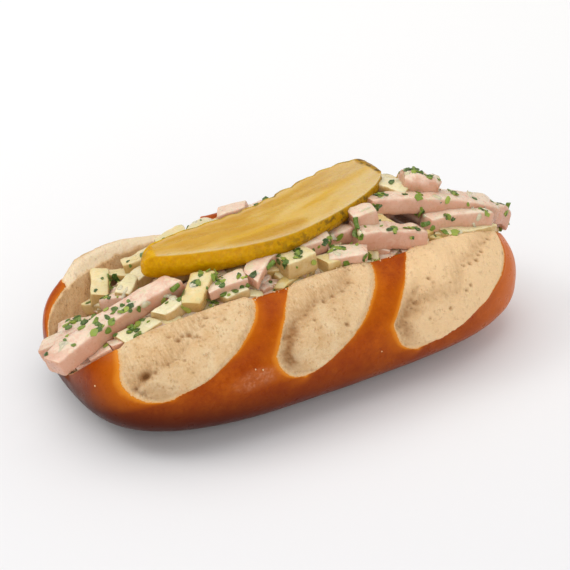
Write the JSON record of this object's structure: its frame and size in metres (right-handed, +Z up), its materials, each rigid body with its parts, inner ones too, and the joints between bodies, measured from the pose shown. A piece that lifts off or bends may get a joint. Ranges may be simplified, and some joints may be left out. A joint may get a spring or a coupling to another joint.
{
  "type": "sausage pretzel sandwich",
  "caption": "Pretzel stick cut open lengthwise and heaped with sausage salad in herb dressing, with a long gherkin slice on top.",
  "frame": {"origin": "middle of the flat spot that the bun rests on", "axes": "+X along the bun, -Y towards the scored front side, +Z up from the surface it rests on"},
  "size_m": [0.1887, 0.0973, 0.0604],
  "materials": {
    "pretzel_crust": "baked lye crust, chestnut brown and glossy, with pale crumb where it was scored and cut",
    "sausage": "pale pink cut sausage, wet with dressing",
    "cheese": "cream yellow cheese and egg, smooth and moist",
    "herbs": "chopped parsley and chives, dark to fresh green",
    "dressing": "thin milky dressing, glossy",
    "gherkin": "wet yellow flesh with seed streaks inside an olive rind with warts"
  },
  "bodies": {
    "root": {"bun": "pretzel_crust", "sausage_salad": "sausage", "gherkin_slice": "gherkin"}
  },
  "joints": []
}
